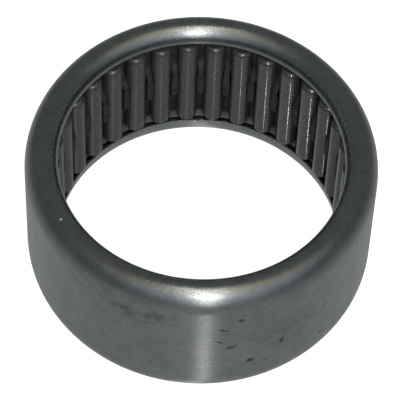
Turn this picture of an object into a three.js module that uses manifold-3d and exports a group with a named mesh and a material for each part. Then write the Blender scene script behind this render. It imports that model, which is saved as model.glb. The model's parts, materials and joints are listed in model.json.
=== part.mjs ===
// Drawn-cup needle roller bearing with a cage, open at both ends.
//
// Metric heavy-section size: runs on a 40 mm shaft, presses into a 50 mm housing, 25 mm wide.
// Millimetres, +Z along the shaft, origin at the centre of the bearing.
// The cup is fixed, the cage turns about Z and every roller turns about its own axis.

import * as THREE from 'three';
import { mergeVertices } from 'three/addons/utils/BufferGeometryUtils.js';
import Module from 'manifold-3d';

// Boundary sizes
const SHAFT_RADIUS = 20;
const HOUSING_RADIUS = 25;
const WIDTH = 25;

// Rollers
const ROLLER_COUNT = 34;
const ROLLER_RADIUS = 1.5;
const ROLLER_LENGTH = 17.8;
const ROLLER_END_ROUNDING = 0.6;
const PITCH_RADIUS = SHAFT_RADIUS + ROLLER_RADIUS;

// Cup: one drawn sheet with both edges curled inwards as lips. The bottom lip is closed last,
// over the rollers: it reaches further along the bore and its edge thins towards their ends.
// Bends and roundings are pairs of a radial width and a height. Edge corners are measured
// outwards from the bore and back from the tip of the lip.
const RACEWAY_CLEARANCE = 0.05;
const RACEWAY_RADIUS = PITCH_RADIUS + ROLLER_RADIUS + RACEWAY_CLEARANCE;
const RACEWAY_HALF_LENGTH = 10.1;
const RACEWAY_CORNER_RADIUS = 0.9;
const TOP_LIP = {
	bend: new THREE.Vector2(2.6, 3.7),
	radius: 20.3,
	rounding: new THREE.Vector2(1.9, WIDTH / 2 - RACEWAY_HALF_LENGTH),
	edge: [],
};
const BOTTOM_LIP = {
	bend: new THREE.Vector2(3.1, 4.4),
	radius: 20.45,
	rounding: new THREE.Vector2(1.2, 3.2),
	edge: [new THREE.Vector2(0.4, 0), new THREE.Vector2(0.7, 0.8)],
};

// Cage: one strip of sheet with an M-shaped section. Its bars dip inside the pitch circle
// in the middle and lie outside it near the ends, so a roller can fall neither in nor out.
const CAGE_SHEET = 0.5;
const CAGE_WIDTH = 19.5;
const CAGE_CORNER_BREAK = 0.2;
const FLANGE_INNER_RADIUS = 21.4;
const DIP_RADIUS = PITCH_RADIUS - 0.75;
const SHOULDER_RADIUS = PITCH_RADIUS + 0.8;
const SLANT_START = 2.5;
const SLANT_END = 4.2;

// Pockets, as half widths and half lengths
const POCKET_HALF_LENGTH = 9.05;
const POCKET_NARROW = 1.44;
const POCKET_WIDE = 1.56;
const POCKET_WIDE_START = SLANT_START - 0.4;
const POCKET_WIDE_END = SLANT_END + 0.4;

// Facets
const CUP_SEGMENTS = 2 * ROLLER_COUNT;
const ROLLER_SEGMENTS = 16;
const BEND_STEPS = 4;
const CORNER_STEPS = 2;

const wasm = await Module();
wasm.setup();

/** Points on a quarter of an ellipse, both ends included. */
function quarterArc(centre, radii, startAngle, steps) {
	const points = [];
	for (let i = 0; i <= steps; i++) {
		const angle = startAngle + (Math.PI / 2) * (i / steps);
		points.push(new THREE.Vector2(
			centre.x + radii.x * Math.cos(angle),
			centre.y + radii.y * Math.sin(angle),
		));
	}
	return points;
}

/** The same points below the middle plane, in the opposite order. */
function mirrored(points) {
	return points.map((point) => new THREE.Vector2(point.x, -point.y)).reverse();
}

/** A solid of revolution about Z from an outline of (radius, height) points, with a facet corner on +X. */
function revolved(outline, segments) {
	const geometry = new THREE.LatheGeometry(outline, segments, Math.PI / 2);
	geometry.rotateX(Math.PI / 2);
	return geometry;
}

/** Half of the cup's section, from the outer wall over one lip to the raceway. */
function lipOutline(lip) {
	const face = WIDTH / 2;
	const bendCentre = new THREE.Vector2(HOUSING_RADIUS - lip.bend.x, face - lip.bend.y);
	const bend = quarterArc(bendCentre, lip.bend, 0, BEND_STEPS);
	const tip = new THREE.Vector2(lip.radius, face - lip.rounding.y);
	const roundingCentre = new THREE.Vector2(lip.radius + lip.rounding.x, tip.y);
	const rounding = quarterArc(roundingCentre, lip.rounding, Math.PI / 2, BEND_STEPS);
	const edge = lip.edge.map((corner) => corner.clone().add(tip));
	const cornerRadii = new THREE.Vector2(RACEWAY_CORNER_RADIUS, RACEWAY_CORNER_RADIUS);
	const cornerCentre = new THREE.Vector2(RACEWAY_RADIUS, RACEWAY_HALF_LENGTH).sub(cornerRadii);
	const corner = quarterArc(cornerCentre, cornerRadii, 0, CORNER_STEPS).reverse();
	return [...bend, ...rounding, ...edge, ...corner];
}

/** The drawn cup. */
function outerCup() {
	const top = lipOutline(TOP_LIP);
	const bottom = mirrored(lipOutline(BOTTOM_LIP));
	return revolved([...top, ...bottom, top[0]], CUP_SEGMENTS);
}

/** Half of the cage's M section, from the middle of the side facing the raceway to the bore side. */
function cageHalfOutline() {
	const halfSheet = CAGE_SHEET / 2;
	const end = CAGE_WIDTH / 2;
	const slantAngle = Math.atan2(SHOULDER_RADIUS - DIP_RADIUS, SLANT_END - SLANT_START);
	const cornerShift = halfSheet * Math.tan(slantAngle / 2);
	const points = [
		[DIP_RADIUS + halfSheet, SLANT_START - cornerShift],
		[SHOULDER_RADIUS + halfSheet, SLANT_END - cornerShift],
		[SHOULDER_RADIUS + halfSheet, end - CAGE_CORNER_BREAK],
		[SHOULDER_RADIUS + halfSheet - CAGE_CORNER_BREAK, end],
		[FLANGE_INNER_RADIUS, end],
		[FLANGE_INNER_RADIUS, end - CAGE_SHEET],
		[SHOULDER_RADIUS - halfSheet, end - CAGE_SHEET],
		[SHOULDER_RADIUS - halfSheet, SLANT_END + cornerShift],
		[DIP_RADIUS - halfSheet, SLANT_START + cornerShift],
	];
	return points.map(([radius, height]) => new THREE.Vector2(radius, height));
}

/** A block that cuts one pocket on the +X side, wide where the bars cross the pitch circle. */
function pocketCutter() {
	const edge = [
		[POCKET_NARROW, POCKET_HALF_LENGTH],
		[POCKET_NARROW, POCKET_WIDE_END],
		[POCKET_WIDE, POCKET_WIDE_END],
		[POCKET_WIDE, POCKET_WIDE_START],
		[POCKET_NARROW, POCKET_WIDE_START],
	].map(([across, along]) => new THREE.Vector2(across, along));
	const rightSide = [...edge, ...mirrored(edge)];
	const leftSide = rightSide.map((point) => new THREE.Vector2(-point.x, point.y)).reverse();
	const geometry = new THREE.ExtrudeGeometry(new THREE.Shape([...rightSide, ...leftSide]), {
		depth: HOUSING_RADIUS - DIP_RADIUS,
		bevelEnabled: false,
	});
	geometry.translate(0, 0, DIP_RADIUS - CAGE_SHEET);
	const tangential = new THREE.Vector3(0, 1, 0);
	const axial = new THREE.Vector3(0, 0, 1);
	const radial = new THREE.Vector3(1, 0, 0);
	return geometry.applyMatrix4(new THREE.Matrix4().makeBasis(tangential, axial, radial));
}

/** A closed geometry as a solid that can be cut. */
function toSolid(geometry) {
	const bare = geometry.clone();
	bare.deleteAttribute('normal');
	bare.deleteAttribute('uv');
	const merged = mergeVertices(bare);
	return new wasm.Manifold(new wasm.Mesh({
		numProp: 3,
		vertProperties: new Float32Array(merged.getAttribute('position').array),
		triVerts: new Uint32Array(merged.getIndex().array),
	}));
}

/** A solid back as a geometry. */
function toGeometry(solid) {
	const mesh = solid.getMesh();
	const geometry = new THREE.BufferGeometry();
	geometry.setAttribute('position', new THREE.BufferAttribute(mesh.vertProperties, 3));
	geometry.setIndex(new THREE.BufferAttribute(mesh.triVerts, 1));
	geometry.computeVertexNormals();
	return geometry;
}

/** The strip before its pockets are cut: one flat for each bar, with the corners where the rollers stand. */
function cageBlank() {
	const half = cageHalfOutline();
	const geometry = revolved([...half, ...mirrored(half), half[0]], ROLLER_COUNT);
	const flatToCorner = 1 / Math.cos(Math.PI / ROLLER_COUNT);
	return geometry.scale(flatToCorner, flatToCorner, 1);
}

/** The cage: the strip with one pocket cut for each roller. */
function cage() {
	let solid = toSolid(cageBlank());
	const cutter = pocketCutter();
	for (let i = 0; i < ROLLER_COUNT; i++) {
		solid = solid.subtract(toSolid(cutter.clone().rotateZ(rollerAngle(i))));
	}
	return toGeometry(solid);
}

/** One needle roller, standing on the origin's axis, with rounded ends. */
function roller() {
	const end = ROLLER_LENGTH / 2;
	const half = [
		new THREE.Vector2(ROLLER_RADIUS, end - ROLLER_END_ROUNDING),
		new THREE.Vector2(ROLLER_RADIUS - ROLLER_END_ROUNDING, end),
		new THREE.Vector2(0, end),
	];
	return revolved([...mirrored(half), ...half], ROLLER_SEGMENTS);
}

/** Where a roller stands around the bearing. */
function rollerAngle(index) {
	return (index / ROLLER_COUNT) * 2 * Math.PI;
}

/** A named mesh with a steel of its own. */
function part(name, geometry, color, roughness) {
	const material = new THREE.MeshStandardMaterial({ color, roughness, metalness: 1 });
	const mesh = new THREE.Mesh(geometry, material);
	mesh.name = name;
	return mesh;
}

const bearing = new THREE.Group();
bearing.add(part('outer_cup', outerCup(), 0x6c6e6e, 0.4));
bearing.add(part('cage', cage(), 0x3c3d3e, 0.5));
for (let i = 0; i < ROLLER_COUNT; i++) {
	const number = String(i + 1).padStart(2, '0');
	const mesh = part(`roller_${number}`, roller(), 0x8a8c8e, 0.25);
	const angle = rollerAngle(i);
	mesh.position.set(PITCH_RADIUS * Math.cos(angle), PITCH_RADIUS * Math.sin(angle), 0);
	mesh.rotation.z = angle;
	bearing.add(mesh);
}

export default bearing;
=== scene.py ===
"""The looks of a drawn-cup needle roller bearing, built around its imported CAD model.

Metres, +Z along the shaft axis, origin at the centre of the bearing. The fine cup, cage and rollers
stand for the faceted CAD nodes and ride on their bodies.
"""

import json
import math

import bpy
import numpy as np
from mathutils import Matrix, Vector


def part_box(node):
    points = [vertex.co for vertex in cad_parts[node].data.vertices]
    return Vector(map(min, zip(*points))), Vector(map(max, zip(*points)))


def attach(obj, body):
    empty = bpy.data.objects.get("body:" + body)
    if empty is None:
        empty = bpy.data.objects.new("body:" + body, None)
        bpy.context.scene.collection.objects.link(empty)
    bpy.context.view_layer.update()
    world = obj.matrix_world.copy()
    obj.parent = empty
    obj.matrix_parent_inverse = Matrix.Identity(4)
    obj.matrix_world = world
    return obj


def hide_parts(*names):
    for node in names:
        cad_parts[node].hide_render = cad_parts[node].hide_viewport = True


MM = 0.001

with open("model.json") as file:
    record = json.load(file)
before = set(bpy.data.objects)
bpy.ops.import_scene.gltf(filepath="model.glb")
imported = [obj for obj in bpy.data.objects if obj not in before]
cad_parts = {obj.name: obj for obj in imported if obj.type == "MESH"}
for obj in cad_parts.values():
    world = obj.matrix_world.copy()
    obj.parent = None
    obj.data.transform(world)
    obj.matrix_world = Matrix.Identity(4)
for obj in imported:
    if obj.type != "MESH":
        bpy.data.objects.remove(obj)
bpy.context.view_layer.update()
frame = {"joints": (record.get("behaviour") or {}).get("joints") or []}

# Sizes that the frame gives
_, cup_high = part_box("outer_cup")
_, cage_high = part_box("cage")
roller_low, roller_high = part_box("roller_01")
CUP_RADIUS = cup_high.x
CUP_HALF_WIDTH = cup_high.z
CAGE_HALF_WIDTH = cage_high.z
ROLLER_RADIUS = (roller_high.x - roller_low.x) / 2
ROLLER_HALF_LENGTH = roller_high.z
ROLLER_AXES = [Vector(j["pos_m"]) for j in frame["joints"] if j["name"].startswith("roller_")]
ROLLER_COUNT = len(ROLLER_AXES)
PITCH_RADIUS = ROLLER_AXES[0].length

# Cup section. Bends and roundings are pairs of a radial width and a height.
RACEWAY_CLEARANCE = 0.05 * MM
RACEWAY_RADIUS = PITCH_RADIUS + ROLLER_RADIUS + RACEWAY_CLEARANCE
RACEWAY_HALF_LENGTH = 10.1 * MM
RACEWAY_CORNER = 0.9 * MM
CUP_SEGMENTS = 288
LIP_BEND_STEPS = 20
LIP_ROUNDING_STEPS = 24

# A lip's edge corners are measured outwards from the bore and back from the tip of the lip. The top
# one ends in a fine bead left by shearing, the bottom one thins towards the roller ends.
TOP_LIP = {
    "bend": (2.65 * MM, 3.75 * MM),
    "radius": 20.3 * MM,
    "rounding": (2.0 * MM, 2.4 * MM),
    "edge": [(0.02 * MM, 0.13 * MM), (0.0, 0.06 * MM), (0.03 * MM, 0.0)],
}
BOTTOM_LIP = {
    "bend": (3.15 * MM, 4.45 * MM),
    "radius": 20.45 * MM,
    "rounding": (1.25 * MM, 3.2 * MM),
    "edge": [(0.0, 0.0), (0.4 * MM, 0.0), (0.7 * MM, 0.8 * MM)],
}
LIP_EDGE_RADIUS = 0.04 * MM

# Cage section: bars that dip inside the pitch circle in the middle and lie outside it near the ends.
# Inside the dip a bar is slightly hollow across its width.
CAGE_SHEET = 0.5 * MM
CAGE_DIP_RADIUS = PITCH_RADIUS - 0.75 * MM
CAGE_SHOULDER_RADIUS = PITCH_RADIUS + 0.8 * MM
CAGE_FLANGE_RADIUS = 21.4 * MM
CAGE_SLANT_START = 2.5 * MM
CAGE_SLANT_END = 4.2 * MM
CAGE_BEND_RADIUS = 0.6 * MM
BAR_HOLLOW = 0.12 * MM
BAR_HOLLOW_RUNOUT = 0.8 * MM

# Pockets, as half widths and half lengths. They are widest where the bars cross the pitch circle.
POCKET_HALF_LENGTH = 9.05 * MM
POCKET_NARROW = 1.44 * MM
POCKET_WIDE = 1.54 * MM
POCKET_WIDE_MARGIN = 0.4 * MM
POCKET_WIDE_BLEND = 0.6 * MM
POCKET_CORNER_RADIUS = 0.45 * MM

# Rows and columns of the cage's mesh
POCKET_ROWS = 56
LEAST_ROW_STEP = 0.02 * MM
GAP_COLUMNS = 6
BAR_COLUMNS = 6

# Rollers
ROLLER_END_ROUNDING = 0.65 * MM
ROLLER_SEGMENTS = 48

# Steel colours
CUP_DULL = (0.4, 0.41, 0.41, 1)
CUP_CLEAN = (0.49, 0.5, 0.495, 1)
CUP_GROUND = (0.38, 0.385, 0.385, 1)
CUP_MOTTLED = (0.33, 0.335, 0.335, 1)
SCRATCHED = (0.05, 0.05, 0.055, 1)
# Painted glint: near-white colour on the edges of the dented spot on the lower lip
PAINTED_GLINT = (0.95, 0.95, 0.95, 1)
DUST = (0.8, 0.8, 0.8, 1)
ROLLER_DARK = (0.11, 0.115, 0.115, 1)
ROLLER_PALE = (0.2, 0.205, 0.205, 1)
CAGE_DARK = (0.05, 0.05, 0.055, 1)
CAGE_PALE = (0.1, 0.1, 0.1, 1)
# Painted light: a paler tone at the ends of the pockets, lifting the shade between the roller ends and the
# lips
CAGE_PAINTED_LIGHT = (0.27, 0.27, 0.27, 1)
CAGE_PAINTED_LIGHT_LENGTH = 0.6 * MM
GRAIN_DEPTH = 0.01 * MM

# Camera: a long lens, rolled a little to one side. Its azimuth is measured from -Y. Angles are in degrees.
CAMERA_AZIMUTH = -1.8
CAMERA_ELEVATION = 56.54
CAMERA_ROLL = 2.43
CAMERA_DISTANCE = 16.82 * CUP_RADIUS
CAMERA_LENS = 263
AIM_BELOW_CENTRE = 0.102 * MM

FLOOR_HALF_SIZE = 6.0

# A short key light and a tall spill light stand below the lens, a little to the right. The table throws
# faint images of them back up, onto the wall and onto the foot of the cup. Azimuths are measured from
# the camera's side. All angles here are in degrees.
LIGHT_DISTANCE = 0.5
LIGHT_AZIMUTH = 6.6
KEY_ELEVATION = 35.0
KEY_SIZE = (0.02, 0.16)
KEY_POWER = 0.17
SPILL_ELEVATION = 43.0
SPILL_SIZE = (0.035, 1.3)
SPILL_POWER = 0.8
TABLE_GLARE_ELEVATION = -56.0
TABLE_GLARE_SIZE = (0.02, 0.02)
TABLE_GLARE_POWER = 0.014
FOOT_GLARE_ELEVATION = -84.0
FOOT_GLARE_SIZE = (0.03, 0.5)
FOOT_GLARE_POWER = 0.028

# The room: its colours from straight below (0) to straight above (1), and two round patches of light
ROOM_COLOURS = [
    (0.0, (0.26, 0.275, 0.273, 1)),
    (0.2, (0.25, 0.265, 0.263, 1)),
    (0.33, (0.19, 0.203, 0.2, 1)),
    (0.39, (0.14, 0.153, 0.153, 1)),
    (0.5, (0.098, 0.108, 0.11, 1)),
    (1.0, (0.102, 0.113, 0.11, 1)),
]
GLOW_AZIMUTH = 14.0
GLOW_ELEVATION = 42.0
GLOW_WIDTH = 60.0
GLOW_LEVEL = 0.36
GLOW_TINTS = [(0.75, (0.75, 0.9, 1.1, 1)), (0.92, (1.15, 1.05, 0.7, 1))]
BACK_GLOW_ELEVATION = -50.0
BACK_GLOW_WIDTH = 60.0
BACK_GLOW_LEVEL = 0.1

# A speck of dust on the rim, and a dented spot on the lower lip whose edges carry a painted glint. Places
# are an azimuth in degrees from +X, a radius and a height.
DUST_PLACE = (-148.5, 22.8 * MM, 12.4 * MM)
DUST_SIZES = (0.22 * MM, 0.22 * MM, 0.22 * MM)
DENT_AND_GLINT_PLACE = (91.2, 20.6 * MM, -9.3 * MM)
DENT_AND_GLINT_SIZES = (2.4 * MM, 0.7 * MM, 0.6 * MM)
DENT_DEPTH = 0.8 * MM

# Marks on the cup's wall: azimuth from +X in degrees, height, half length, half width, tilt in degrees
# and darkness
SMUDGES = [
    (-111, 6.6 * MM, 5.2 * MM, 2.0 * MM, 2, 0.55),
    (-127, 8.0 * MM, 4.5 * MM, 2.0 * MM, 12, 0.25),
    (-100, 7.3 * MM, 2.0 * MM, 1.0 * MM, 0, 0.45),
    (-61, 1.0 * MM, 6.0 * MM, 4.5 * MM, 0, 0.2),
]
SCRATCHES = [
    (-76.8, 6.7 * MM, 0.6 * MM, 0.3 * MM, 10, 0.8),
    (-82.4, 4.7 * MM, 0.8 * MM, 0.3 * MM, -25, 0.8),
    (-83.7, 1.6 * MM, 1.1 * MM, 0.25 * MM, -35, 0.8),
    (-79.4, 0.0 * MM, 1.3 * MM, 0.28 * MM, 19, 0.9),
    (-62.3, -1.7 * MM, 1.1 * MM, 0.35 * MM, 60, 0.8),
    (-73.0, -4.6 * MM, 0.75 * MM, 0.6 * MM, 0, 1.0),
    (-67.9, -5.6 * MM, 0.35 * MM, 0.3 * MM, 0, 0.7),
    (-55.1, -1.1 * MM, 0.6 * MM, 0.3 * MM, 30, 0.5),
    (-46.2, -6.2 * MM, 0.6 * MM, 0.35 * MM, 10, 0.5),
    (-45.2, 0.7 * MM, 0.6 * MM, 0.3 * MM, 30, 0.5),
]


# ---------------------------------------------------------------- mesh helpers

# A side is divided by this for the most that one rounded corner may use of it, so two never meet.
OVER_TWO = 2.2


def arc(centre, radii, start, end, steps):
    """Points (radius, height) on an ellipse from one angle to another, both ends included."""
    angles = np.radians(np.linspace(start, end, steps + 1))
    return np.column_stack((centre[0] + radii[0] * np.cos(angles), centre[1] + radii[1] * np.sin(angles)))


def straight(start, end, steps):
    """Points between two points, both left out."""
    shares = np.linspace(0, 1, steps + 1)[1:-1, None]
    return np.array(start) * (1 - shares) + np.array(end) * shares


def below(points):
    """The same points below the middle plane, in the opposite order."""
    return (points * (1, -1))[::-1]


def rounded_path(corners, radius, steps):
    """A path through corner points with each inner corner rounded."""
    path = [np.array(corners[0])]
    for before, corner, after in zip(corners, corners[1:], corners[2:]):
        corner = np.array(corner)
        towards_start = np.array(before) - corner
        towards_end = np.array(after) - corner
        side_before = np.linalg.norm(towards_start)
        side_after = np.linalg.norm(towards_end)
        trim = min(radius, side_before / OVER_TWO, side_after / OVER_TWO)
        start = corner + towards_start / side_before * trim
        end = corner + towards_end / side_after * trim
        for share in np.linspace(0, 1, steps + 1):
            path.append((1 - share) ** 2 * start + 2 * share * (1 - share) * corner + share ** 2 * end)
    path.append(np.array(corners[-1]))
    return np.array(path)


def mesh_object(name, vertices, faces):
    """A smooth-shaded mesh object at the origin."""
    mesh = bpy.data.meshes.new(name)
    mesh.from_pydata([tuple(v) for v in vertices], [], faces)
    mesh.validate()
    mesh.polygons.foreach_set("use_smooth", [True] * len(mesh.polygons))
    mesh.update()
    made = bpy.data.objects.new(name, mesh)
    bpy.context.scene.collection.objects.link(made)
    return made


def revolve_closed(outline, segments):
    """Vertices and faces of a ring whose section is a closed outline of (radius, height) points."""
    count = len(outline)
    angles = np.linspace(0, 2 * math.pi, segments, endpoint=False)
    radius, height = outline[:, 0], outline[:, 1]
    x = np.outer(np.cos(angles), radius)
    y = np.outer(np.sin(angles), radius)
    z = np.tile(height, (segments, 1))
    vertices = np.stack((x, y, z), axis=-1).reshape(-1, 3)
    faces = []
    for i in range(segments):
        here, there = i * count, (i + 1) % segments * count
        for j in range(count):
            k = (j + 1) % count
            faces.append((here + j, there + j, there + k, here + k))
    return vertices, faces


# ---------------------------------------------------------------- cup

def lip_outline(lip):
    """The cup's section above its middle plane, from the outer wall over the lip to the raceway."""
    face = CUP_HALF_WIDTH
    bend, rounding = lip["bend"], lip["rounding"]
    outer_bend = arc((CUP_RADIUS - bend[0], face - bend[1]), bend, 0, 90, LIP_BEND_STEPS)
    tip = np.array((lip["radius"], face - rounding[1]))
    inner_bend = arc(tip + (rounding[0], 0), rounding, 90, 180, LIP_ROUNDING_STEPS)
    edge = [tip + corner for corner in lip["edge"]]
    # The rounding stops just before the first corner of the edge.
    inner_bend = inner_bend[inner_bend[:, 1] > edge[0][1] + LIP_EDGE_RADIUS]
    flat = straight(outer_bend[-1], inner_bend[0], 2)
    corner_centre = (RACEWAY_RADIUS - RACEWAY_CORNER, RACEWAY_HALF_LENGTH - RACEWAY_CORNER)
    corner = arc(corner_centre, (RACEWAY_CORNER, RACEWAY_CORNER), 90, 0, 6)
    end = rounded_path([inner_bend[-1], *edge, corner[0]], LIP_EDGE_RADIUS, 3)[1:-1]
    return np.vstack((outer_bend, flat, inner_bend, end, corner))


def build_cup():
    """The drawn cup with its two lips, as one closed ring."""
    top = lip_outline(TOP_LIP)
    bottom = below(lip_outline(BOTTOM_LIP))
    raceway = straight(top[-1], bottom[0], 12)
    wall = straight(bottom[-1], top[0], 16)
    vertices, faces = revolve_closed(np.vstack((top, raceway, bottom, wall)), CUP_SEGMENTS)
    cup = mesh_object("cup_shell", vertices, faces)
    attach(cup, "cup")
    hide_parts("outer_cup")
    return cup


# ---------------------------------------------------------------- rollers

def roller_outline():
    """From the middle of the bottom end to the middle of the top end, as (radius, height)."""
    rounding = ROLLER_END_ROUNDING
    centre = (ROLLER_RADIUS - rounding, ROLLER_HALF_LENGTH - rounding)
    end = arc(centre, (rounding, rounding), 0, 90, 8)
    flat = straight(end[-1], (0, ROLLER_HALF_LENGTH), 4)
    top = np.vstack((end, flat))
    side = straight((ROLLER_RADIUS, -centre[1]), (ROLLER_RADIUS, centre[1]), 12)
    return np.vstack((below(top), side, top))


def build_roller(name, axis, body, node):
    """One needle roller on its axis, closed by a point in the middle of each end."""
    outline = roller_outline()
    count = len(outline)
    angles = np.linspace(0, 2 * math.pi, ROLLER_SEGMENTS, endpoint=False)
    x = axis.x + np.outer(np.cos(angles), outline[:, 0])
    y = axis.y + np.outer(np.sin(angles), outline[:, 0])
    z = np.tile(outline[:, 1], (ROLLER_SEGMENTS, 1))
    vertices = list(np.stack((x, y, z), axis=-1).reshape(-1, 3))
    bottom_pole = len(vertices)
    top_pole = bottom_pole + 1
    vertices.append((axis.x, axis.y, -ROLLER_HALF_LENGTH))
    vertices.append((axis.x, axis.y, ROLLER_HALF_LENGTH))
    faces = []
    for i in range(ROLLER_SEGMENTS):
        here, there = i * count, (i + 1) % ROLLER_SEGMENTS * count
        faces.append((bottom_pole, there, here))
        for j in range(count - 1):
            faces.append((here + j, there + j, there + j + 1, here + j + 1))
        faces.append((here + count - 1, there + count - 1, top_pole))
    roller = mesh_object(name, vertices, faces)
    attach(roller, body)
    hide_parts(node)
    return roller


def build_rollers():
    """A needle for every roller joint of the frame."""
    rollers = []
    for i, axis in enumerate(ROLLER_AXES):
        node = f"roller_{i + 1:02d}"
        rollers.append(build_roller(f"needle_{i + 1:02d}", axis, f"{node}_body", node))
    return rollers


# ---------------------------------------------------------------- cage

def cage_section():
    """The middle of the cage's sheet above the middle plane, as (radius, height) points."""
    half = CAGE_SHEET / 2
    end = CAGE_HALF_WIDTH - half
    corners = [
        (CAGE_DIP_RADIUS, 0),
        (CAGE_DIP_RADIUS, CAGE_SLANT_START),
        (CAGE_SHOULDER_RADIUS, CAGE_SLANT_END),
        (CAGE_SHOULDER_RADIUS, end),
        (CAGE_FLANGE_RADIUS, end),
    ]
    return rounded_path(corners, CAGE_BEND_RADIUS, 5)


def pocket_half_width(height):
    """Half the width of a pocket at a height, with its wide stretch and its round corners."""
    height = abs(height)
    past_start = height - (CAGE_SLANT_START - POCKET_WIDE_MARGIN)
    before_end = CAGE_SLANT_END + POCKET_WIDE_MARGIN - height
    opening = np.clip(past_start / POCKET_WIDE_BLEND + 1, 0, 1)
    closing = np.clip(before_end / POCKET_WIDE_BLEND + 1, 0, 1)
    width = POCKET_NARROW + (POCKET_WIDE - POCKET_NARROW) * opening * closing
    corner = POCKET_CORNER_RADIUS
    into_corner = max(0.0, height - (POCKET_HALF_LENGTH - corner))
    return width - (corner - math.sqrt(max(0.0, corner ** 2 - into_corner ** 2)))


def cage_rows():
    """The cage's section from end to end, with a row of its own at each step of a pocket."""
    half = cage_section()
    pocket_rows = np.linspace(0, POCKET_HALF_LENGTH, POCKET_ROWS)
    before_flange = half[:, 1] < CAGE_HALF_WIDTH - 2 * CAGE_BEND_RADIUS
    radii = np.interp(pocket_rows, half[before_flange, 1], half[before_flange, 0])
    beyond_pocket = half[half[:, 1] > POCKET_HALF_LENGTH + LEAST_ROW_STEP]
    upper = np.vstack((np.column_stack((radii, pocket_rows)), beyond_pocket))
    return np.vstack((below(upper[1:]), upper))


def cage_ring(radius, height):
    """The points of one row around the cage: for each roller its pocket's columns, then its bar's."""
    pocket_step = 2 * math.pi / ROLLER_COUNT
    gap = 2 * math.asin(pocket_half_width(min(abs(height), POCKET_HALF_LENGTH)) / radius)
    hollow = BAR_HOLLOW * np.clip((CAGE_SLANT_START - abs(height)) / BAR_HOLLOW_RUNOUT, 0, 1)
    points = []
    for sector in range(ROLLER_COUNT):
        centre = sector * pocket_step
        for column in range(GAP_COLUMNS):
            angle = centre - gap / 2 + gap * column / GAP_COLUMNS
            points.append((radius * math.cos(angle), radius * math.sin(angle), height))
        for column in range(BAR_COLUMNS):
            share = column / BAR_COLUMNS
            angle = centre + gap / 2 + (pocket_step - gap) * share
            across_bar = 2 * share - 1
            hollowed = radius - hollow * (1 - across_bar ** 2)
            points.append((hollowed * math.cos(angle), hollowed * math.sin(angle), height))
    return points


def build_cage():
    """The cage: a strip with open pockets, given its thickness by a modifier."""
    section = cage_rows()
    vertices = [point for radius, height in section for point in cage_ring(radius, height)]
    columns = GAP_COLUMNS + BAR_COLUMNS
    ring = columns * ROLLER_COUNT
    faces = []
    for row in range(len(section) - 1):
        middle = abs(section[row, 1] + section[row + 1, 1]) / 2
        for column in range(ring):
            in_gap = column % columns < GAP_COLUMNS
            if in_gap and middle < POCKET_HALF_LENGTH:
                continue
            following = (column + 1) % ring
            faces.append((
                row * ring + column,
                row * ring + following,
                (row + 1) * ring + following,
                (row + 1) * ring + column,
            ))
    cage = mesh_object("cage_strip", vertices, faces)
    strip_loose_vertices(cage)
    thickness = cage.modifiers.new("sheet", "SOLIDIFY")
    thickness.thickness = CAGE_SHEET
    thickness.offset = 0
    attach(cage, "cage_ring")
    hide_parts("cage")
    return cage


def strip_loose_vertices(piece):
    """Removes vertices that no face uses."""
    mesh = piece.data
    used = np.zeros(len(mesh.vertices), bool)
    for polygon in mesh.polygons:
        used[list(polygon.vertices)] = True
    renumber = np.cumsum(used) - 1
    vertices = [v.co.copy() for v, keep in zip(mesh.vertices, used) if keep]
    faces = [[int(renumber[i]) for i in p.vertices] for p in mesh.polygons]
    mesh.clear_geometry()
    mesh.from_pydata(vertices, [], faces)
    mesh.polygons.foreach_set("use_smooth", [True] * len(mesh.polygons))
    mesh.update()


# ---------------------------------------------------------------- materials

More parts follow.
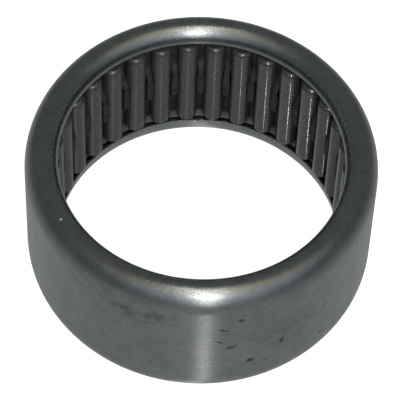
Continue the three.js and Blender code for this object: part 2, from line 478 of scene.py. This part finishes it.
class Steel:
    """A metal material whose nodes are added one by one. Its places are in millimetres."""

    def __init__(self, name):
        self.material = bpy.data.materials.new(name)
        self.material.use_nodes = True
        self.tree = self.material.node_tree
        self.shader = self.tree.nodes["Principled BSDF"]
        self.shader.inputs["Metallic"].default_value = 1
        metres = self.tree.nodes.new("ShaderNodeTexCoord").outputs["Object"]
        self.place = self.add("ShaderNodeVectorMath", operation="SCALE", Vector=metres, Scale=1 / MM)

    def add(self, kind, **settings):
        """Adds a node and returns its first output.

        A setting is a property of the node, or a socket by its name or, as _0 or _1, by its number.
        """
        made = self.tree.nodes.new(kind)
        for key, value in settings.items():
            if hasattr(made, key):
                setattr(made, key, value)
            else:
                number = key[1:]
                self.feed(made.inputs[int(number) if number.isdigit() else key], value)
        return made.outputs[0]

    def feed(self, socket, value):
        """Sets a socket to a value, or links an output to it."""
        if isinstance(value, bpy.types.NodeSocket):
            self.tree.links.new(value, socket)
        else:
            socket.default_value = value

    def set(self, name, value):
        """Sets one of the shader's own sockets."""
        self.feed(self.shader.inputs[name], value)

    def math(self, operation, first, second=0.0):
        """A number made from one or two numbers."""
        return self.add("ShaderNodeMath", operation=operation, _0=first, _1=second)

    def along(self, axis):
        """The place along one axis."""
        split = self.tree.nodes.new("ShaderNodeSeparateXYZ")
        self.feed(split.inputs[0], self.place)
        return split.outputs[axis]

    def stretched(self, x, y, z):
        """The place, stretched along each axis."""
        return self.add("ShaderNodeVectorMath", operation="MULTIPLY", _0=self.place, _1=(x, y, z))

    def around_wall(self):
        """The place as millimetres around the cup's wall from +X and millimetres of height."""
        angle = self.math("ARCTAN2", self.along("Y"), self.along("X"))
        around = self.math("MULTIPLY", angle, CUP_RADIUS / MM)
        return self.add("ShaderNodeCombineXYZ", X=around, Y=self.along("Z"))

    def spot(self, place, centre, half_sizes, tilt=0):
        """1 inside a soft-edged oval, 0 outside. The centre and the half sizes are in metres."""
        local = self.add(
            "ShaderNodeMapping",
            vector_type="TEXTURE",
            Vector=place,
            Location=tuple(value / MM for value in centre),
            Rotation=(0, 0, math.radians(tilt)),
            Scale=tuple(value / MM for value in half_sizes),
        )
        inwards = self.add("ShaderNodeTexGradient", gradient_type="SPHERICAL", Vector=local)
        return self.ramp(inwards, 0.0, 0.35)

    def noise(self, place, scale, detail, roughness):
        """A cloudy value around 0.5. Its largest features are about 1 / scale millimetres wide."""
        return self.add("ShaderNodeTexNoise", Vector=place, Scale=scale, Detail=detail, Roughness=roughness)

    def ramp(self, value, low, high, to_low=0.0, to_high=1.0):
        """A value remapped from one range to another, and held inside it."""
        made = self.tree.nodes.new("ShaderNodeMapRange")
        made.interpolation_type = "SMOOTHSTEP"
        for socket, number in zip(made.inputs, (value, low, high, to_low, to_high)):
            self.feed(socket, number)
        return made.outputs[0]

    def blend(self, share, first, second):
        """A colour between two colours."""
        made = self.tree.nodes.new("ShaderNodeMix")
        made.data_type = "RGBA"
        self.feed(made.inputs["Factor"], share)
        self.feed(made.inputs[6], first)
        self.feed(made.inputs[7], second)
        return made.outputs[2]

    def bump(self, height, strength, distance, normal=None):
        """A normal that follows a height, on top of another normal if one is given."""
        made = self.tree.nodes.new("ShaderNodeBump")
        made.inputs["Strength"].default_value = strength
        made.inputs["Distance"].default_value = distance
        self.feed(made.inputs["Height"], height)
        if normal is not None:
            self.feed(made.inputs["Normal"], normal)
        return made.outputs[0]


def at_azimuth(azimuth, radius, height):
    """The point at an azimuth in degrees from +X, a radius and a height."""
    angle = math.radians(azimuth)
    return radius * math.cos(angle), radius * math.sin(angle), height


def darkness_of(steel, place, marks):
    """How dark the darkest of some marks is at a place on the cup's wall."""
    darkest = 0.0
    for azimuth, height, half_length, half_width, tilt, darkness in marks:
        centre = (math.radians(azimuth) * CUP_RADIUS, height, 0)
        mark = steel.spot(place, centre, (half_length, half_width, MM), tilt)
        darkest = steel.math("MAXIMUM", darkest, steel.math("MULTIPLY", mark, darkness))
    return darkest


def wall_marks(steel):
    """How dark the scratches and smudges on the cup's wall are. Their edges are shifted by a noise."""
    ragged = steel.noise(steel.place, 1.2, 5, 0.8)
    shift = steel.ramp(ragged, 0.25, 0.75, -0.35, 0.35)
    place = steel.add(
        "ShaderNodeVectorMath",
        operation="MULTIPLY_ADD",
        _0=shift,
        _1=(1, -1, 0),
        _2=steel.around_wall(),
    )
    broken = steel.ramp(steel.noise(steel.place, 2.5, 4, 0.7), 0.32, 0.5)
    patchy = steel.ramp(steel.noise(steel.place, 0.8, 3, 0.6), 0.35, 0.7)
    scratches = steel.math("MULTIPLY", darkness_of(steel, place, SCRATCHES), broken)
    smudges = steel.math("MULTIPLY", darkness_of(steel, place, SMUDGES), patchy)
    return steel.math("MAXIMUM", scratches, smudges)


def cup_steel():
    """Drawn and ground steel: fine lines around the wall, mottling, marks, a dented spot whose edges carry
    a painted glint, and a speck of dust.
    """
    steel = Steel("drawn_cup_steel")
    grinding = steel.noise(steel.stretched(0.06, 0.06, 9), 1.0, 4, 0.7)
    grain = steel.noise(steel.place, 6.0, 3, 0.6)
    mottle = steel.noise(steel.place, 1.8, 5, 0.7)
    cloud = steel.noise(steel.place, 0.35, 4, 0.6)
    bright_edges = steel.ramp(steel.noise(steel.place, 2.2, 3, 0.6), 0.42, 0.58)
    dent_and_glint = steel.spot(steel.place, at_azimuth(*DENT_AND_GLINT_PLACE), DENT_AND_GLINT_SIZES)
    dent_and_glint = steel.math("MULTIPLY", dent_and_glint, bright_edges)
    speck = steel.spot(steel.place, at_azimuth(*DUST_PLACE), DUST_SIZES)
    colour = steel.blend(steel.ramp(cloud, 0.35, 0.65), CUP_DULL, CUP_CLEAN)
    colour = steel.blend(steel.ramp(grinding, 0.4, 0.6, 0.0, 0.2), colour, CUP_GROUND)
    colour = steel.blend(steel.ramp(mottle, 0.35, 0.65, 0.5, 0.0), colour, CUP_MOTTLED)
    colour = steel.blend(wall_marks(steel), colour, SCRATCHED)
    # Painted glint: the edges of the dented spot on the lower lip are coloured near-white
    colour = steel.blend(dent_and_glint, colour, PAINTED_GLINT)
    steel.set("Base Color", steel.blend(speck, colour, DUST))
    steel.set("Metallic", steel.math("SUBTRACT", 1.0, speck))
    polish = steel.math("MULTIPLY", dent_and_glint, 0.15)
    steel.set("Roughness", steel.math("SUBTRACT", steel.ramp(grain, 0.3, 0.7, 0.26, 0.32), polish))
    steel.set("Anisotropic", 0.4)
    steel.set("Anisotropic Rotation", 0.25)
    steel.set("Tangent", steel.add("ShaderNodeTangent", direction_type="RADIAL", axis="Z"))
    normal = steel.bump(grinding, 0.1, GRAIN_DEPTH)
    normal = steel.bump(mottle, 0.6, GRAIN_DEPTH, normal)
    normal = steel.bump(dent_and_glint, 1.0, DENT_DEPTH, normal)
    steel.set("Normal", steel.bump(grain, 0.15, GRAIN_DEPTH, normal))
    return steel.material


def roller_steel():
    """Ground steel under drops of oil. The rollers towards +X are smoother and have more oil."""
    steel = Steel("ground_roller_steel")
    streaks = steel.noise(steel.stretched(1, 1, 4), 2.0, 3, 0.6)
    fine = steel.noise(steel.place, 9.0, 3, 0.6)
    steel.set("Base Color", steel.blend(steel.ramp(streaks, 0.35, 0.65), ROLLER_DARK, ROLLER_PALE))
    rough = steel.ramp(fine, 0.3, 0.7, 0.08, 0.2)
    steel.set("Roughness", steel.math("ADD", rough, steel.ramp(steel.along("X"), -3, 14, 0.2, 0.02)))
    steel.set("Metallic", 0.55)
    drops = steel.ramp(steel.noise(steel.place, 5.0, 3, 0.6), 0.44, 0.58)
    film = steel.ramp(steel.along("X"), 0, 15, 0.05, 0.75)
    dry = steel.ramp(steel.along("X"), 15.8, 17.2, 1, 0.1)
    oil = steel.math("MULTIPLY", film, dry)
    steel.set("Coat Weight", steel.math("MULTIPLY", oil, drops))
    steel.set("Coat Roughness", 0.06)
    steel.set("Coat IOR", 1.8)
    steel.set("Normal", steel.bump(fine, 0.2, GRAIN_DEPTH))
    return steel.material


def cage_steel():
    """Dull hardened sheet, painted paler at the ends of the pockets as painted light over the shade near
    the lips.
    """
    steel = Steel("hardened_cage_steel")
    cloud = steel.noise(steel.place, 1.2, 3, 0.6)
    fine = steel.noise(steel.place, 12.0, 3, 0.6)
    colour = steel.blend(steel.ramp(cloud, 0.35, 0.65), CAGE_DARK, CAGE_PALE)
    up = steel.math("ABSOLUTE", steel.along("Z"))
    # Painted light: the ends of the pockets are coloured paler where shade falls between the roller ends
    # and the lips
    painted_end_light = steel.ramp(up, (POCKET_HALF_LENGTH - CAGE_PAINTED_LIGHT_LENGTH) / MM, POCKET_HALF_LENGTH / MM)
    steel.set("Base Color", steel.blend(painted_end_light, colour, CAGE_PAINTED_LIGHT))
    steel.set("Roughness", steel.ramp(fine, 0.3, 0.7, 0.6, 0.75))
    steel.set("Metallic", 0.6)
    steel.set("Normal", steel.bump(fine, 0.3, GRAIN_DEPTH))
    return steel.material


# ---------------------------------------------------------------- floor, light and camera

def build_floor():
    """A white floor that glows by itself, and that neither shades nor shows in the steel."""
    half = FLOOR_HALF_SIZE
    plan = [(-half, -half), (half, -half), (half, half), (-half, half)]
    corners = [(x, y, -CUP_HALF_WIDTH) for x, y in plan]
    floor = mesh_object("floor", corners, [(0, 1, 2, 3)])
    material = bpy.data.materials.new("floor_paper")
    material.use_nodes = True
    shader = material.node_tree.nodes["Principled BSDF"]
    shader.inputs["Base Color"].default_value = (0.9, 0.9, 0.9, 1)
    shader.inputs["Roughness"].default_value = 0.9
    shader.inputs["Specular IOR Level"].default_value = 0.1
    shader.inputs["Emission Color"].default_value = (1, 1, 1, 1)
    shader.inputs["Emission Strength"].default_value = 1
    floor.data.materials.append(material)
    floor.visible_glossy = False
    floor.visible_diffuse = False
    floor.visible_shadow = False


def direction(azimuth, elevation):
    """A unit vector by azimuth from the camera's side and elevation, both in degrees."""
    around = math.radians(CAMERA_AZIMUTH + azimuth)
    up = math.radians(elevation)
    return Vector((math.sin(around) * math.cos(up), -math.cos(around) * math.cos(up), math.sin(up)))


def build_light(name, elevation, size, power):
    """A soft oval light that faces the middle of the bearing."""
    data = bpy.data.lights.new(name, "AREA")
    data.shape = "ELLIPSE"
    data.size, data.size_y = size
    data.energy = power
    light = bpy.data.objects.new(name, data)
    back = direction(LIGHT_AZIMUTH, elevation)
    light.location = back * LIGHT_DISTANCE
    light.rotation_euler = back.to_track_quat("Z", "Y").to_euler()
    bpy.context.scene.collection.objects.link(light)


def glow(tree, outwards, centre, width, level):
    """A round patch of light in the surroundings that fades out at its width, in degrees."""
    facing = tree.nodes.new("ShaderNodeVectorMath")
    facing.operation = "DOT_PRODUCT"
    facing.inputs[1].default_value = centre
    tree.links.new(outwards, facing.inputs[0])
    fade = tree.nodes.new("ShaderNodeMapRange")
    fade.interpolation_type = "SMOOTHSTEP"
    fade.inputs["From Min"].default_value = math.cos(math.radians(width))
    fade.inputs["To Max"].default_value = level
    tree.links.new(facing.outputs["Value"], fade.inputs["Value"])
    return fade.outputs[0]


def colour_ramp(tree, value, stops):
    """A colour that runs through (position, colour) stops as a value goes from 0 to 1."""
    made = tree.nodes.new("ShaderNodeValToRGB")
    tree.links.new(value, made.inputs[0])
    elements = made.color_ramp.elements
    elements[0].position = stops[0][0]
    elements[1].position = stops[-1][0]
    for position, _ in stops[1:-1]:
        elements.new(position)
    for element, (_, colour) in zip(elements, stops):
        element.color = colour
    return made.outputs["Color"]


def combined(tree, operation, first, second):
    """Two colours added or multiplied."""
    made = tree.nodes.new("ShaderNodeVectorMath")
    made.operation = operation
    tree.links.new(first, made.inputs[0])
    tree.links.new(second, made.inputs[1])
    return made.outputs[0]


def build_surroundings():
    """Light from all round: pale below, dark overhead, a tinted glow in front and a faint one behind."""
    world = bpy.data.worlds.new("studio")
    world.use_nodes = True
    tree = world.node_tree
    outwards = tree.nodes.new("ShaderNodeTexCoord").outputs["Generated"]
    split = tree.nodes.new("ShaderNodeSeparateXYZ")
    tree.links.new(outwards, split.inputs[0])
    height = tree.nodes.new("ShaderNodeMapRange")
    height.inputs["From Min"].default_value = -1
    tree.links.new(split.outputs["Z"], height.inputs["Value"])
    room = colour_ramp(tree, height.outputs[0], ROOM_COLOURS)
    tint = colour_ramp(tree, height.outputs[0], GLOW_TINTS)
    front = glow(tree, outwards, direction(GLOW_AZIMUTH, GLOW_ELEVATION), GLOW_WIDTH, GLOW_LEVEL)
    rear = glow(tree, outwards, direction(180, BACK_GLOW_ELEVATION), BACK_GLOW_WIDTH, BACK_GLOW_LEVEL)
    glows = combined(tree, "ADD", combined(tree, "MULTIPLY", front, tint), rear)
    total = combined(tree, "ADD", glows, room)
    tree.links.new(total, tree.nodes["Background"].inputs["Color"])
    bpy.context.scene.world = world


def build_camera():
    """The camera, rolled about its view and aimed a little below the bearing's centre."""
    data = bpy.data.cameras.new("camera")
    data.lens = CAMERA_LENS
    data.clip_start = 0.01
    camera = bpy.data.objects.new("camera", data)
    back = direction(0, CAMERA_ELEVATION)
    level_right = Vector((0, 0, 1)).cross(back).normalized()
    level_up = back.cross(level_right)
    roll = math.radians(CAMERA_ROLL)
    right = math.cos(roll) * level_right + math.sin(roll) * level_up
    up = back.cross(right)
    place = back * CAMERA_DISTANCE - up * AIM_BELOW_CENTRE
    camera.matrix_world = Matrix((
        (right.x, up.x, back.x, place.x),
        (right.y, up.y, back.y, place.y),
        (right.z, up.z, back.z, place.z),
        (0, 0, 0, 1),
    ))
    bpy.context.scene.collection.objects.link(camera)
    bpy.context.scene.camera = camera


# ---------------------------------------------------------------- the whole scene

build_camera()
build_surroundings()
build_floor()
build_light("key", KEY_ELEVATION, KEY_SIZE, KEY_POWER)
build_light("spill", SPILL_ELEVATION, SPILL_SIZE, SPILL_POWER)
build_light("table_glare", TABLE_GLARE_ELEVATION, TABLE_GLARE_SIZE, TABLE_GLARE_POWER)
build_light("foot_glare", FOOT_GLARE_ELEVATION, FOOT_GLARE_SIZE, FOOT_GLARE_POWER)

cup = build_cup()
cup.data.materials.append(cup_steel())
cage = build_cage()
cage.data.materials.append(cage_steel())
steel_of_rollers = roller_steel()
for needle in build_rollers():
    needle.data.materials.append(steel_of_rollers)

bpy.context.scene.view_settings.view_transform = "Standard"
